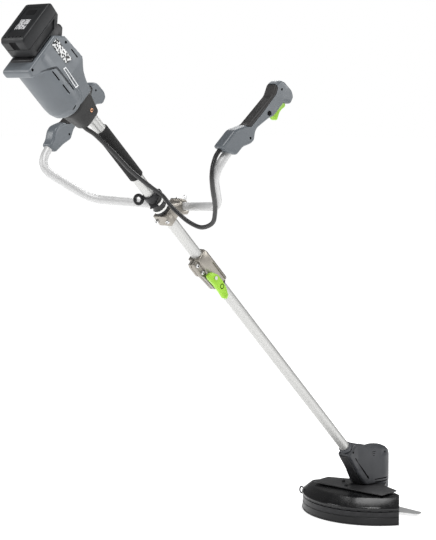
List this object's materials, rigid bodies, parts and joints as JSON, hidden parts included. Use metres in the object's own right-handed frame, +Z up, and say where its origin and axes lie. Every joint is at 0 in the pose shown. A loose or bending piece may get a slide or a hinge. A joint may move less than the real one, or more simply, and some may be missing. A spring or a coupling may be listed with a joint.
{
  "type": "brush cutter",
  "caption": "Battery brush cutter with a split shaft, bull-horn handlebar with two grips, rear battery and controller housing, head-mounted motor, toothed blade and wrap-round guard",
  "frame": {"origin": "centre of the eye of the harness clamp, from which the machine hangs", "axes": "+X forward to the cutting head, +Y to the operator's left, +Z up with the blade level"},
  "size_m": [1.3399, 0.6054, 1.2641],
  "materials": {
    "silver_tube": "satin anodised tube",
    "black_rubber": "matte black rubber and foam",
    "white_nylon": "white moulded nylon",
    "grey_plastic": "mid grey textured moulding",
    "charcoal_plastic": "charcoal textured moulding",
    "black_plastic": "black moulding, semi-gloss",
    "circuit_board": "green circuit board",
    "cast_alloy": "cast alloy, champagne grey",
    "bracket_plate": "dark grey painted plate",
    "steel": "bright steel",
    "copper_screw": "copper-plated screw",
    "green_plastic": "lime green moulding",
    "head_plastic": "dark grey textured moulding",
    "copper_winding": "copper winding"
  },
  "bodies": {
    "frame": {"upper_tube": "silver_tube", "foam_sleeve": "black_rubber", "rubber_sleeve": "black_rubber", "cable_tie_1": "white_nylon", "cable_tie_2": "white_nylon", "housing_left": "grey_plastic", "housing_right": "grey_plastic", "battery_socket": "black_plastic", "terminal_block": "black_plastic", "controller_board": "circuit_board", "controller_heat_sink": "cast_alloy", "neck_boot": "black_rubber", "boot_screw": "copper_screw", "control_cable": "black_rubber", "harness_clamp": "black_plastic", "handle_clamp_upper": "cast_alloy", "handle_clamp_lower": "cast_alloy", "handle_clamp_cap": "cast_alloy", "clamp_bolt": "steel", "coupler_body": "cast_alloy", "coupler_bolt": "steel", "lever_pin": "steel", "wire_socket": "black_plastic"},
    "battery": {"battery_cover": "charcoal_plastic", "battery_base": "charcoal_plastic", "cell_pack": "charcoal_plastic"},
    "battery_latch": {"battery_latch": "charcoal_plastic"},
    "bars": {"handlebar": "silver_tube", "left_grip_left_shell": "grey_plastic", "left_grip_right_shell": "grey_plastic", "left_palm_pad": "black_rubber", "right_grip_left_shell": "grey_plastic", "right_grip_right_shell": "grey_plastic", "right_palm_pad": "black_rubber", "trigger_pin": "steel", "trigger_spring": "steel", "speed_switch": "black_plastic"},
    "trigger": {"trigger": "green_plastic"},
    "lock_button": {"lock_button": "black_plastic"},
    "wing_knob": {"wing_knob": "steel"},
    "release_lever": {"release_lever": "green_plastic"},
    "lower": {"lower_tube": "silver_tube", "wire_plug": "black_plastic", "head_housing_left": "head_plastic", "head_housing_right": "head_plastic", "motor_stator": "copper_winding", "motor_mount_plate": "cast_alloy", "lower_bearing": "steel", "upper_bearing": "steel", "guard_skirt": "black_plastic", "guard": "black_plastic", "guard_bracket": "bracket_plate", "guard_bolt": "steel", "line_knife": "steel"},
    "rotor": {"motor_rotor": "steel", "spindle": "steel", "upper_flange": "steel", "lower_flange": "steel", "blade": "steel", "blade_nut": "steel"}
  },
  "joints": [
    {"name": "battery_slide", "type": "slide", "parent": "frame", "child": "battery", "axis": [0.6972, 0, 0.7169], "range_m": [0, 0.11]},
    {"name": "battery_latch_press", "type": "slide", "parent": "battery", "child": "battery_latch", "axis": [-0.6972, 0, -0.7169], "range_m": [0, 0.0025], "stiffness_N_per_m": 900, "springref_m": -0.002},
    {"name": "handlebar_tilt", "type": "hinge", "parent": "frame", "child": "bars", "pos_m": [0.09827, -0.029, -0.018], "axis": [0, 1, 0], "range_deg": [-15, 15], "deforming": ["control_cable"]},
    {"name": "wing_knob_turn", "type": "hinge", "parent": "frame", "child": "wing_knob", "pos_m": [0.12156, -0.029, -0.01499], "axis": [0.6972, 0, 0.7169], "continuous": true},
    {"name": "trigger_squeeze", "type": "hinge", "parent": "bars", "child": "trigger", "pos_m": [0.10229, -0.31529, 0.21607], "axis": [0.0785, 0.9969, 0], "range_deg": [0, 10], "stiffness_Nm_per_rad": 0.5, "springref_deg": -11.46, "deforming": ["trigger_spring"]},
    {"name": "lock_button_press", "type": "slide", "parent": "bars", "child": "lock_button", "axis": [0.0785, 0.9969, 0], "range_m": [0, 0.0028], "stiffness_N_per_m": 500, "springref_m": -0.002},
    {"name": "release_lever_swing", "type": "hinge", "parent": "frame", "child": "release_lever", "pos_m": [0.19071, -0.05, -0.18687], "axis": [0, 1, 0], "range_deg": [0, 50]},
    {"name": "lower_shaft_slide", "type": "slide", "parent": "frame", "child": "lower", "axis": [0.7169, 0, -0.6972], "range_m": [0, 0.04]},
    {"name": "spindle_spin", "type": "hinge", "parent": "lower", "child": "rotor", "pos_m": [0.83078, -0.029, -0.85119], "axis": [0, 0, 1], "continuous": true}
  ]
}
